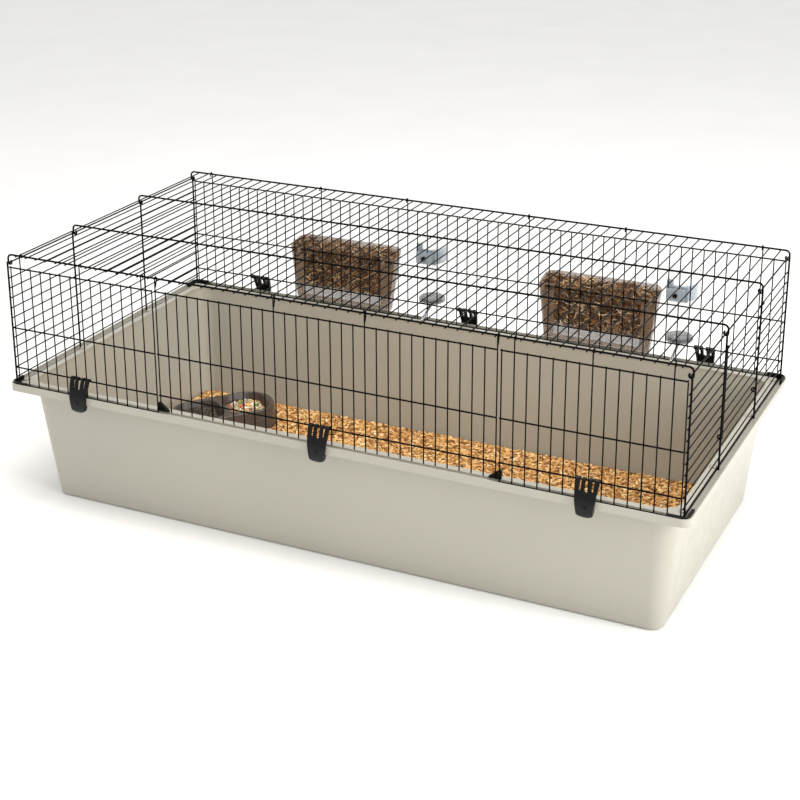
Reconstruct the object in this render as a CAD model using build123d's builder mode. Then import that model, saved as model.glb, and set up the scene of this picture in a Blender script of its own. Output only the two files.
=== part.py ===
from build123d import *
import os
from math import cos, radians, sin

# Wire rabbit cage on a deep plastic tub, in millimetres.
# Origin: centre of the tub's flat underside. +X runs along the cage, -Y is the front, +Z is up.

# Driving dimensions of the wire top
CAGE_LENGTH = 1600.0  # between the main upright wires of the two end panels
CAGE_DEPTH = 784.0  # between the bars of the front and back panels
ROOF_Z = 612.0  # centre of the roof's main wires
BAR = 2.9  # diameter of the close-set bars
RAIL = 3.6  # diameter of the lengthways rails of the front and back
MAIN = 4.4  # diameter of the roof's main wires and the end panels' uprights
WELD = 0.3  # how far two crossing wires sink into each other where they are welded
RAIL_HEIGHTS = (339.0, 437.0, 584.0)  # lower, middle and upper rail
LOWER_RAIL_Z = RAIL_HEIGHTS[0]
MID_RAIL_Z = RAIL_HEIGHTS[1]
FOOT_Z = 296.0  # rail that stands in the tub's channel
BAR_TOP = RAIL_HEIGHTS[2] + 1.5
FOOT_BOTTOM = FOOT_Z - RAIL / 2
BACK_PITCH = 27.33  # bar spacing of the back panel and the roof
BACK_BARS = 29  # bars each side of the middle bar of the back panel
DOOR_HALF = 403.0  # outer bars of the front door
DOOR_SPACES = 30
SIDE_INNER = 412.0  # inner and outer bars of the fixed front sections
SIDE_OUTER = 792.5
SIDE_SPACES = 14
END_LOW_Z = 316.0  # lowest of the end panels' level bars
END_PITCH = 24.15
END_BARS = 11

# Driving dimensions of the tub
BASE_LENGTH = 1500.0
BASE_DEPTH = 680.0
BASE_CORNER = 28.0
WALL = 4.0
WALL_TOP_Z = 290.0
TOP_CORNER = 45.0
RIM_OUT = 15.0  # how far the rim's skirt stands outside the bars
RIM_CORNER = 20.0
SKIRT = 3.0
SKIRT_LOW_Z = 283.0
RIM_TOP_Z = 300.0
CHANNEL_Z = 293.5
CURB_TOP_Z = 298.0
CURB_OUT = -5.5  # the curb's outer side, measured outwards from the bars
WALL_IN = -22.0  # the tub's inner opening, measured outwards from the bars
FOOT_FILLET = 9.0
BOSS_THICK = 8.0  # small bosses on the curb that hold the end panels out

HALF_L = CAGE_LENGTH / 2
HALF_D = CAGE_DEPTH / 2
ROOF_WIRE_Y = HALF_D - 4.0  # the outer roof wires run just inside the bars that hook over them
ROOF_YS = (-ROOF_WIRE_Y, -140.0, 140.0, ROOF_WIRE_Y)
RAIL_Y = HALF_D + (BAR + RAIL) / 2 - WELD
HOOK = 4.0  # centre-line radius of the hooks over the outer roof wires
LOOP_LEAN = 16.0  # degrees past the half turn that a closed door loop leans back to its bar
LOOP_LEG = 17.0
EYE = 4.5  # centre-line radius of the eyes that hold the end panels
EYE_X = 796.3
EYE_Z = 594.0
ROOF_END_X = EYE_X + EYE
ROOF_BEND = 10.0
UPRIGHT_GAP = 4.9  # an end upright stands beside its roof eye
END_BAR_X = HALF_L - (MAIN + BAR) / 2 + WELD
SIDE_DOOR_Y = 138.5  # frame uprights of the side door
SIDE_DOOR_WIRE = 3.6
SIDE_DOOR_LOOP = 4.6
SIDE_DOOR_HINGE_Z = END_LOW_Z + 2 * END_PITCH
SIDE_DOOR_TOP = 568.0

UP = (0, 0, 0)
ALONG_X = (0, 90, 0)
ALONG_Y = (90, 0, 0)

os.makedirs("parts", exist_ok=True)


def save(builder, name):
    """Label one finished sub-part and write its STEP file."""
    builder.part.label = name
    export_step(builder.part, f"parts/{name}.step")


def wires(points, diameter, length, direction):
    """Parallel straight wires of one length, centred on the points."""
    with Locations(*points):
        Cylinder(diameter / 2, length, rotation=direction)


def end_bar_heights():
    return [END_LOW_Z + i * END_PITCH for i in range(END_BARS)]


def upright_ys():
    """Across the end panels, each upright stands just beyond its roof eye."""
    inner = ROOF_YS[2] + UPRIGHT_GAP
    outer = ROOF_WIRE_Y + UPRIGHT_GAP
    return (-outer, -inner, inner, outer)


def on_circle(radius, degrees):
    return (radius * cos(radians(degrees)), radius * sin(radians(degrees)))


def swept_wire(route, diameter):
    """A bent wire along the finished route."""
    with BuildSketch(Plane(origin=route @ 0, z_dir=route % 0)) as section:
        Circle(diameter / 2)
    sweep(section.sketch, path=route)


def hooked_bars(xs, side, bottom):
    """Bars carried up over an outer roof wire and turned down behind it."""
    outer_y = side * HALF_D
    inner_y = side * (ROOF_WIRE_Y - HOOK)
    for x in xs:
        with BuildLine(Plane.YZ.offset(x)) as route:
            Line((outer_y, bottom), (outer_y, ROOF_Z))
            ThreePointArc((outer_y, ROOF_Z), (side * ROOF_WIRE_Y, ROOF_Z + HOOK), (inner_y, ROOF_Z))
            Line((inner_y, ROOF_Z), (inner_y, ROOF_Z - 6.0))
        swept_wire(route.line, BAR)


def looped_bars(xs, bottom):
    """Door bars that go over the roof's front wire and back to themselves as closed loops."""
    turn_y, turn_z = on_circle(HOOK, -LOOP_LEAN)
    leg_top = (turn_y - ROOF_WIRE_Y, ROOF_Z + turn_z)
    run_y, run_z = on_circle(LOOP_LEG, -90.0 - LOOP_LEAN)
    leg_foot = (leg_top[0] + run_y, leg_top[1] + run_z)
    for x in xs:
        with BuildLine(Plane.YZ.offset(x)) as route:
            Line((-HALF_D, bottom), (-HALF_D, ROOF_Z))
            ThreePointArc((-HALF_D, ROOF_Z), (-ROOF_WIRE_Y, ROOF_Z + HOOK), leg_top)
            Line(leg_top, leg_foot)
        swept_wire(route.line, BAR)
    with Locations(*[(x, (leg_foot[0] - HALF_D) / 2, leg_foot[1] - 0.8) for x in xs]):
        Sphere(2.2)


# Tub: a deep drafted tray whose rim carries a channel for the wire top and a turned-down skirt
def ring(out_a, corner_a, out_b, corner_b, low, high):
    """A level band of the rim, from one distance outside the bars to another."""
    with BuildSketch(Plane.XY.offset(low)) as band:
        RectangleRounded(CAGE_LENGTH + 2 * out_a, CAGE_DEPTH + 2 * out_a, corner_a)
        RectangleRounded(CAGE_LENGTH + 2 * out_b, CAGE_DEPTH + 2 * out_b, corner_b, mode=Mode.SUBTRACT)
    extrude(band.sketch, amount=high - low)


with BuildPart() as tub:
    top_length = CAGE_LENGTH + 2 * (WALL_IN + WALL)
    top_depth = CAGE_DEPTH + 2 * (WALL_IN + WALL)
    with BuildSketch():
        RectangleRounded(BASE_LENGTH, BASE_DEPTH, BASE_CORNER)
    with BuildSketch(Plane.XY.offset(WALL_TOP_Z)):
        RectangleRounded(top_length, top_depth, TOP_CORNER)
    loft()
    fillet(tub.edges().group_by(Axis.Z)[0], FOOT_FILLET)
    lower = WALL / WALL_TOP_Z
    with BuildSketch(Plane.XY.offset(WALL)):
        RectangleRounded(
            BASE_LENGTH + (top_length - BASE_LENGTH) * lower - 2 * WALL,
            BASE_DEPTH + (top_depth - BASE_DEPTH) * lower - 2 * WALL,
            BASE_CORNER - WALL,
        )
    with BuildSketch(Plane.XY.offset(WALL_TOP_Z)):
        RectangleRounded(top_length - 2 * WALL, top_depth - 2 * WALL, TOP_CORNER - WALL)
    loft(mode=Mode.SUBTRACT)
    ring(RIM_OUT, RIM_CORNER, WALL_IN, TOP_CORNER - WALL, WALL_TOP_Z, CHANNEL_Z)
    ring(RIM_OUT, RIM_CORNER, RIM_OUT - SKIRT, RIM_CORNER - SKIRT, SKIRT_LOW_Z, RIM_TOP_Z)
    ring(CURB_OUT, 5.0, WALL_IN, TOP_CORNER - WALL, CHANNEL_Z, CURB_TOP_Z)
    boss_x = HALF_L + CURB_OUT - BOSS_THICK / 2
    boss_y = HALF_D + CURB_OUT - 20.0
    boss_ys = (-boss_y, upright_ys()[1], upright_ys()[2], boss_y)
    with Locations(*[(sx * boss_x, y, CURB_TOP_Z + 1.5) for sx in (-1, 1) for y in boss_ys]):
        Box(BOSS_THICK, 18.0, 5.0)
save(tub, "tub")

BEDDING_DEEP = 12.0
BEDDING_GAP = 6.0  # from the tub's outer outline at the floor
with BuildPart() as bedding:
    with BuildSketch(Plane.XY.offset(WALL)):
        RectangleRounded(
            BASE_LENGTH - 2 * BEDDING_GAP,
            BASE_DEPTH - 2 * BEDDING_GAP,
            BASE_CORNER - BEDDING_GAP,
        )
    extrude(amount=BEDDING_DEEP)
save(bedding, "bedding")
BEDDING_TOP = WALL + BEDDING_DEEP

# Black corner boots that sit in the channel outside the wires
BOOT_IN = 5.2
BOOT_OUT = 11.4
BOOT_ARM = 44.0
BOOT_LOW = CHANNEL_Z + 0.3
BOOT_HIGH = 304.0
for x_side, x_name in ((-1, "left"), (1, "right")):
    for y_side, y_name in ((-1, "front"), (1, "back")):
        with BuildPart() as boot:
            ring(BOOT_OUT, 16.4, BOOT_IN, 0.8, BOOT_LOW, BOOT_HIGH)
            corner = (x_side * (HALF_L + BOOT_OUT), y_side * (HALF_D + BOOT_OUT), BOOT_LOW)
            with Locations(corner):
                Box(2 * BOOT_ARM, 2 * BOOT_ARM, 60.0, mode=Mode.INTERSECT)
        save(boot, f"corner_boot_{y_name}_{x_name}")

# Roof: four main wires with turned-down ends and eyes, and close-set cross bars welded below them
CROSS_Z = ROOF_Z - (MAIN + BAR) / 2 + WELD
CROSS_XS = [s * (i + 0.5) * BACK_PITCH for s in (-1, 1) for i in range(BACK_BARS)]
with BuildPart() as roof_panel:
    for y in ROOF_YS:
        with BuildLine(Plane.XZ.offset(-y)) as main_wire:
            left_eye = [(-EYE_X + u, EYE_Z + w) for u, w in (on_circle(EYE, a) for a in (60, -60, 180))]
            right_eye = [(EYE_X + u, EYE_Z + w) for u, w in (on_circle(EYE, a) for a in (0, 240, 120))]
            ThreePointArc(*left_eye)
            FilletPolyline(
                left_eye[2],
                (-ROOF_END_X, ROOF_Z),
                (ROOF_END_X, ROOF_Z),
                right_eye[0],
                radius=ROOF_BEND,
            )
            ThreePointArc(*right_eye)
        swept_wire(main_wire.line, MAIN)
    wires([(x, 0, CROSS_Z) for x in CROSS_XS], BAR, 2 * ROOF_WIRE_Y + 4.0, ALONG_Y)
save(roof_panel, "roof_panel")


# End panels: four uprights, a top wire through the roof's eyes, and level bars
def end_panel(side, door_opening):
    bar_x = side * END_BAR_X
    top = EYE_Z + RAIL / 2
    inner, outer = upright_ys()[2:]
    wires([(side * HALF_L, y, (FOOT_BOTTOM + top) / 2) for y in upright_ys()], MAIN, top - FOOT_BOTTOM, UP)
    wires([(side * EYE_X, 0, EYE_Z)], RAIL, 2 * outer + 6.0, ALONG_Y)
    wires([(bar_x, 0, FOOT_Z)], RAIL, 2 * outer + 6.0, ALONG_Y)
    full_heights = end_bar_heights()
    if door_opening:
        cut_heights = [z for z in full_heights if z > SIDE_DOOR_HINGE_Z + 1.0]
        full_heights = [z for z in full_heights if z <= SIDE_DOOR_HINGE_Z + 1.0]
        start = inner - 1.2
        run = outer + 2.4 - start
        spots = [(bar_x, s * (start + run / 2), z) for s in (-1, 1) for z in cut_heights]
        wires(spots, BAR, run, ALONG_Y)
    wires([(bar_x, 0, z) for z in full_heights], BAR, 2 * outer + 4.8, ALONG_Y)


with BuildPart() as left_end_panel:
    end_panel(-1, door_opening=False)
save(left_end_panel, "left_end_panel")

with BuildPart() as right_end_panel:
    end_panel(1, door_opening=True)
save(right_end_panel, "right_end_panel")

# Side door: a wire frame whose lower loops turn on a level bar of the right end panel
DOOR_FRAME_X = END_BAR_X + SIDE_DOOR_LOOP
DOOR_BAR_X = DOOR_FRAME_X - (SIDE_DOOR_WIRE + BAR) / 2 + WELD
with BuildPart() as side_door:
    frame_run = SIDE_DOOR_TOP - SIDE_DOOR_HINGE_Z
    frame_mid = (SIDE_DOOR_TOP + SIDE_DOOR_HINGE_Z) / 2
    wires([(DOOR_FRAME_X, s * SIDE_DOOR_Y, frame_mid) for s in (-1, 1)], SIDE_DOOR_WIRE, frame_run, UP)
    with Locations(*[(END_BAR_X, s * SIDE_DOOR_Y, SIDE_DOOR_HINGE_Z) for s in (-1, 1)]):
        Torus(SIDE_DOOR_LOOP, SIDE_DOOR_WIRE / 2, rotation=ALONG_Y)
    door_heights = [z for z in end_bar_heights() if z > SIDE_DOOR_HINGE_Z + 1.0]
    wires([(DOOR_BAR_X, 0, z) for z in door_heights], BAR, 2 * SIDE_DOOR_Y + 5.0, ALONG_Y)
    # Stops that close against the outside of the panel's uprights
    stop_x = DOOR_FRAME_X + (SIDE_DOOR_WIRE + BAR) / 2 - WELD
    stop_y = SIDE_DOOR_Y + 5.0
    wires([(stop_x, s * stop_y, SIDE_DOOR_TOP - 3.0) for s in (-1, 1)], BAR, 14.0, ALONG_Y)
save(side_door, "side_door")

# Back panel: one sheet of bars with four rails outside them, hooked over the roof's back wire
back_hooks = [s * i for s in (-1, 1) for i in (6, 15, 27)]
back_plain = [i for i in range(-BACK_BARS, BACK_BARS + 1) if i not in back_hooks]
bar_run = BAR_TOP - FOOT_BOTTOM
with BuildPart() as back_panel:
    hooked_bars([i * BACK_PITCH for i in back_hooks], 1, FOOT_BOTTOM)
    wires([(i * BACK_PITCH, HALF_D, FOOT_BOTTOM + bar_run / 2) for i in back_plain], BAR, bar_run, UP)
    wires([(0, RAIL_Y, z) for z in (FOOT_Z, *RAIL_HEIGHTS)], RAIL, 2 * SIDE_OUTER + 3.0, ALONG_X)
save(back_panel, "back_panel")

# Fixed front sections either side of the door
side_pitch = (SIDE_OUTER - SIDE_INNER) / SIDE_SPACES
side_mid = (SIDE_OUTER + SIDE_INNER) / 2
side_hooks = (1, 7, 13)
for side, name in ((-1, "front_left_panel"), (1, "front_right_panel")):
    bar_xs = [side * (SIDE_INNER + i * side_pitch) for i in range(SIDE_SPACES + 1)]
    plain_xs = [x for i, x in enumerate(bar_xs) if i not in side_hooks]
    with BuildPart() as front_section:
        hooked_bars([bar_xs[i] for i in side_hooks], -1, FOOT_BOTTOM)
        wires([(x, -HALF_D, FOOT_BOTTOM + bar_run / 2) for x in plain_xs], BAR, bar_run, UP)
        rails = [(side * side_mid, -RAIL_Y, z) for z in (FOOT_Z, *RAIL_HEIGHTS)]
        wires(rails, RAIL, SIDE_OUTER - SIDE_INNER + 3.0, ALONG_X)
    save(front_section, name)

# Front door: hangs from the roof's front wire by four closed loops and swings up and out
door_pitch = 2 * DOOR_HALF / DOOR_SPACES
door_bottom = RIM_TOP_Z + 1.5
door_run = BAR_TOP - door_bottom
door_loops = (0, 11, 19, DOOR_SPACES)
with BuildPart() as front_door:
    door_xs = [i * door_pitch - DOOR_HALF for i in range(DOOR_SPACES + 1)]
    plain_xs = [x for i, x in enumerate(door_xs) if i not in door_loops]
    looped_bars([door_xs[i] for i in door_loops], door_bottom)
    wires([(x, -HALF_D, door_bottom + door_run / 2) for x in plain_xs], BAR, door_run, UP)
    wires([(0, -RAIL_Y, z) for z in RAIL_HEIGHTS], RAIL, 2 * DOOR_HALF + 3.0, ALONG_X)
save(front_door, "front_door")

# Door guides: small gussets on the tub's curb that the door's lower corners close against
GUIDE_TALL = 20.0
GUIDE_WIDE = 26.0
for side, name in ((-1, "door_guide_left"), (1, "door_guide_right")):
    with BuildPart() as guide:
        with BuildSketch(Plane.XZ.offset(HALF_D - 9.5)):
            with BuildLine():
                Polyline(
                    (side * (SIDE_INNER + 2.0), CURB_TOP_Z),
                    (side * (SIDE_INNER + 2.0), CURB_TOP_Z + GUIDE_TALL),
                    (side * (SIDE_INNER - 4.0), CURB_TOP_Z + GUIDE_TALL),
                    (side * (SIDE_INNER - GUIDE_WIDE), CURB_TOP_Z + 3.0),
                    (side * (SIDE_INNER - GUIDE_WIDE), CURB_TOP_Z),
                    close=True,
                )
            make_face()
        extrude(amount=6.5)
        fillet(guide.edges().filter_by(Axis.Y), 1.2)
    save(guide, name)

# Clips: hooked on a lower rail, they latch under the rim's skirt
CLIP_HALF = 25.0  # half width at the fingers
CLIP_TIP_HALF = 17.0  # half width near the rounded lower end
CLIP_TIP_Z = -75.0  # lower end, from the rail
FINGER_TOP = 7.0
CLIP_BORE = 2.1
CLIP_SKIN = 5.6
LATCH_W = SKIRT_LOW_Z - 1.3 - LOWER_RAIL_Z
CLIP_IN = HALF_D + RIM_OUT + 0.6 - RAIL_Y


def clip(x, side, name):
    """One clip about the rail at x. Side -1 is the front and 1 the back."""
    along = Plane(origin=(x, side * RAIL_Y, LOWER_RAIL_Z), x_dir=(0, side, 0), z_dir=(side, 0, 0))
    facing = Plane(origin=(x, side * RAIL_Y, LOWER_RAIL_Z), x_dir=(1, 0, 0), z_dir=(0, -1, 0))
    with BuildPart() as body:
        with BuildSketch(along):
            with BuildLine():
                ThreePointArc(on_circle(CLIP_SKIN, 215), on_circle(CLIP_SKIN, 120), on_circle(CLIP_SKIN, 25))
                outside = Spline(
                    on_circle(CLIP_SKIN, 25),
                    (14.0, -18.0),
                    (21.0, -48.0),
                    (18.0, -72.0),
                    tangents=((0.5, -1.0), (-0.45, -1.0)),
                )
                Polyline(
                    outside @ 1,
                    (14.5, -77.0),
                    (CLIP_IN - 1.0, -77.0),
                    (7.6, LATCH_W - 6.0),
                    (7.6, LATCH_W),
                    (CLIP_IN, LATCH_W),
                    (CLIP_IN, -34.0),
                    on_circle(CLIP_BORE, -20),
                )
                ThreePointArc(on_circle(CLIP_BORE, -20), on_circle(CLIP_BORE, 90), on_circle(CLIP_BORE, 215))
                Line(on_circle(CLIP_BORE, 215), on_circle(CLIP_SKIN, 215))
            make_face()
        extrude(amount=CLIP_HALF, both=True)
        with BuildSketch(facing):
            tip_side = (CLIP_TIP_HALF, CLIP_TIP_Z + 5.5)
            waist = (CLIP_HALF - 3.8, CLIP_TIP_Z / 2)
            with BuildLine():
                Polyline(tip_side, waist, (CLIP_HALF, -4.0), (CLIP_HALF, FINGER_TOP))
                Line((CLIP_HALF, FINGER_TOP), (-CLIP_HALF, FINGER_TOP))
                Polyline(
                    (-CLIP_HALF, FINGER_TOP),
                    (-CLIP_HALF, -4.0),
                    (-waist[0], waist[1]),
                    (-tip_side[0], tip_side[1]),
                )
                ThreePointArc((-tip_side[0], tip_side[1]), (0, CLIP_TIP_Z), tip_side)
            make_face()
        extrude(amount=40.0, both=True, mode=Mode.INTERSECT)
        with BuildSketch(facing):
            with Locations((0, 0)):
                SlotOverall(44.0, 7.4, rotation=90)
            with Locations((-13.2, 0), (13.2, 0)):
                SlotOverall(40.0, 4.4, rotation=90)
        extrude(amount=40.0, both=True, mode=Mode.SUBTRACT)
        with Locations((x, side * (RAIL_Y + 23.2), LOWER_RAIL_Z - 50.0)):
            Sphere(5.0, mode=Mode.SUBTRACT)
    save(body, name)


# A clip sits either on a bar or midway between two, so that the bars pass through its slots
clip(-SIDE_INNER - 7.5 * side_pitch, -1, "front_clip_left")
clip(0, -1, "front_clip_centre")
clip(SIDE_INNER + 7 * side_pitch, -1, "front_clip_right")
clip(-22 * BACK_PITCH, 1, "back_clip_left")
clip(0, 1, "back_clip_centre")
clip(22.5 * BACK_PITCH, 1, "back_clip_right")

# Hay racks: thin plastic bins outside the back panel, open at the top and towards the bars
RACK_Y = HALF_D + 5.5
RACK_LOW = RIM_TOP_Z + 2.0
RACK_HIGH = 460.0  # back wall
RACK_FRONT_HIGH = 443.0
RACK_TOP_WIDE = 306.0
RACK_LOW_WIDE = 270.0
RACK_TOP_DEEP = 62.0
RACK_LOW_DEEP = 44.0
RACK_CORNER = 30.0
RACK_SKIN = 2.0
RACK_FLANGE = 24.0
RACK_SILL = 12.0  # height of the low front edge under the open face
RACK_HOOK_THICK = 3.0
RACK_HOOK_WIDE = 7.0
RACK_HOOK_DROP = 6.0
HAY_LOW = 337.0


def bin_outline(x, z, wide, deep, corner, inset):
    """The bin's level outline: flat towards the bars, rounded at the back."""
    half = wide / 2 - inset
    near = RACK_Y + inset
    far = RACK_Y + deep - inset
    radius = corner - inset
    with BuildSketch(Plane.XY.offset(z)) as outline:
        with BuildLine():
            Polyline((x - half, far - radius), (x - half, near), (x + half, near), (x + half, far - radius))
            RadiusArc((x + half, far - radius), (x + half - radius, far), -radius)
            Line((x + half - radius, far), (x - half + radius, far))
            RadiusArc((x - half + radius, far), (x - half, far - radius), -radius)
        make_face()
    return outline


def bin_block(x, low, high, inset, mode):
    """The bin's solid shape between two heights, drawn in by the inset."""
    outlines = []
    for z in (low, high):
        share = (z - RACK_LOW) / (RACK_HIGH - RACK_LOW)
        wide = RACK_LOW_WIDE + share * (RACK_TOP_WIDE - RACK_LOW_WIDE)
        deep = RACK_LOW_DEEP + share * (RACK_TOP_DEEP - RACK_LOW_DEEP)
        outlines.append(bin_outline(x, z, wide, deep, RACK_CORNER, inset).sketch)
    loft(outlines, mode=mode)


def slant_top(x, lowered):
    """Cuts the bin's top along a plane that rises from the front edge to the back wall."""
    rise = (RACK_HIGH - RACK_FRONT_HIGH) / RACK_TOP_DEEP
    front_y = RACK_Y - 2.0
    back_y = RACK_Y + RACK_TOP_DEEP + 2.0
    front_z = RACK_FRONT_HIGH - 2.0 * rise - lowered
    back_z = RACK_HIGH + 2.0 * rise - lowered
    with BuildSketch(Plane.YZ.offset(x)) as wedge:
        with BuildLine():
            Polyline((front_y, front_z), (back_y, back_z), (back_y, back_z + 9.0), close=False)
            Polyline((back_y, back_z + 9.0), (front_y, back_z + 9.0), (front_y, front_z))
        make_face()
    extrude(wedge.sketch, amount=RACK_TOP_WIDE, both=True, mode=Mode.SUBTRACT)


for rack_x, hook_reach, name in (
    (-13 * BACK_PITCH, 4.5 * BACK_PITCH, "left"),
    (12.5 * BACK_PITCH, 5 * BACK_PITCH, "right"),
):
    with BuildPart() as rack:
        bin_block(rack_x, RACK_LOW, RACK_HIGH, 0.0, Mode.ADD)
        bin_block(rack_x, RACK_LOW + RACK_SKIN, RACK_HIGH, RACK_SKIN, Mode.SUBTRACT)
        window = RACK_LOW_WIDE - 2 * RACK_FLANGE
        with Locations((rack_x, RACK_Y, (RACK_LOW + RACK_HIGH) / 2 + RACK_SILL)):
            Box(window, 4 * RACK_SKIN, RACK_HIGH - RACK_LOW, mode=Mode.SUBTRACT)
        slant_top(rack_x, 0.0)
        # Hooks that reach between the bars and over the middle rail
        hook_top = MID_RAIL_Z + RAIL / 2 + RACK_HOOK_THICK + 0.4
        hook_foot = MID_RAIL_Z - RACK_HOOK_DROP
        hook_in = HALF_D - BAR / 2 - 1.0
        for s in (-1, 1):
            with BuildSketch(Plane.YZ.offset(rack_x + s * hook_reach - RACK_HOOK_WIDE / 2)):
                with BuildLine():
                    Polyline(
                        (RACK_Y + 1.0, hook_top),
                        (hook_in - RACK_HOOK_THICK, hook_top),
                        (hook_in - RACK_HOOK_THICK, hook_foot),
                        (hook_in, hook_foot),
                        (hook_in, hook_top - RACK_HOOK_THICK),
                        (RACK_Y + 1.0, hook_top - RACK_HOOK_THICK),
                        close=True,
                    )
                make_face()
            extrude(amount=RACK_HOOK_WIDE)
    save(rack, f"hay_rack_{name}")
    with BuildPart() as hay:
        bin_block(rack_x, HAY_LOW, RACK_HIGH, RACK_SKIN + 0.4, Mode.ADD)
        slant_top(rack_x, 2.0)
    save(hay, f"hay_{name}")

# Water bottles: upside down in brackets outside the back panel, with a drinking tube into the cage
BOTTLE_Y = HALF_D + 45.0
BOTTLE_R = 33.0
BOTTLE_SKIN = 1.8
BOTTLE_CROWN = 12.0
SHOULDER = 12.0  # height of the cone between neck and body
NECK_R = 27.0
BOTTLE_TOP = 542.0
BOTTLE_SHIFT = 7.0  # sideways from the middle of a gap between two bars
CAP_R = 33.0
CAP_LOW = 334.0
CAP_HIGH = 347.0
CAP_FLOOR = CAP_LOW + 3.0
NECK_LOW = CAP_LOW + 6.0
TUBE_CORNER_Z = 326.0
TUBE_R = 4.0
BRACKET_LOW = 446.0
BRACKET_HIGH = 484.0
BRACKET_MID = (BRACKET_LOW + BRACKET_HIGH) / 2
BRACKET_IN = BOTTLE_R + 0.6
BRACKET_OUT = BOTTLE_R + 3.4
SCREW_R = 2.4
SCREW_HOLE_R = 2.6
KNOB_R = 5.5
KNOB_THICK = 7.0
PLATE_THICK = 4.0


def bottle_profile(inset):
    """Half the bottle's outline in radius and height, drawn in by the inset and closed on the axis."""
    neck = NECK_R - inset
    body = BOTTLE_R - inset
    low = NECK_LOW - (1.0 if inset else 0.0)
    cone = CAP_HIGH + 1.0 + inset / 3
    crown = BOTTLE_CROWN - inset
    top = BOTTLE_TOP - inset
    Polyline((0, low), (neck, low), (neck, cone), (body, cone + SHOULDER), (body, top - crown))
    RadiusArc((body, top - crown), (body - crown, top), -crown)
    Polyline((body - crown, top), (0, top), (0, low))


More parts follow.
